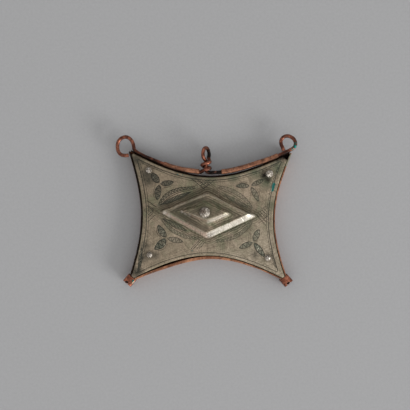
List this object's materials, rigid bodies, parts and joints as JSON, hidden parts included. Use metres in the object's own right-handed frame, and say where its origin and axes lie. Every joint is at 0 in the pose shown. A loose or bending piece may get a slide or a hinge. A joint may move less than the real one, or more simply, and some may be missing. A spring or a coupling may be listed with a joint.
{
  "type": "amulet case pendant",
  "caption": "Flat amulet case with concave sides, a lift-off domed cover with a stepped lozenge, a wire edge with hanging eyes, and rolled ferrules on its lower corners.",
  "frame": {"origin": "middle of the back plate's outer face, on the surface that the case lies on", "axes": "+X to the right seen from the decorated face, +Y towards the edge with the three eyes, +Z out of the decorated face"},
  "size_m": [0.0911, 0.0768, 0.0139],
  "materials": {
    "copper_sheet": "copper sheet, dulled and browned with age",
    "copper_wire": "copper, hand drawn, rubbed bright on top and dark in the folds",
    "nickel_silver": "nickel silver, engraved, with olive green patina in the lines",
    "stud_silver": "whitish silver, hammered and worn",
    "charm_paper": "old folded paper"
  },
  "bodies": {
    "tray": {"back_plate": "copper_sheet", "wall_left": "copper_sheet", "wall_right": "copper_sheet", "wall_bottom": "copper_sheet", "wall_top": "copper_sheet", "suspension_wire": "copper_wire", "sleeve_left": "copper_wire", "sleeve_right": "copper_wire", "ferrule_left": "copper_wire", "ferrule_right": "copper_wire", "charm_packet": "charm_paper"},
    "cover": {"front_cover": "nickel_silver", "centre_stud": "stud_silver", "stud_top_left": "stud_silver", "stud_top_right": "stud_silver", "stud_bottom_left": "stud_silver", "stud_bottom_right": "stud_silver"}
  },
  "joints": [
    {"name": "cover_lift", "type": "slide", "parent": "tray", "child": "cover", "axis": [0, 0, 1], "range_m": [0, 0.015]}
  ]
}
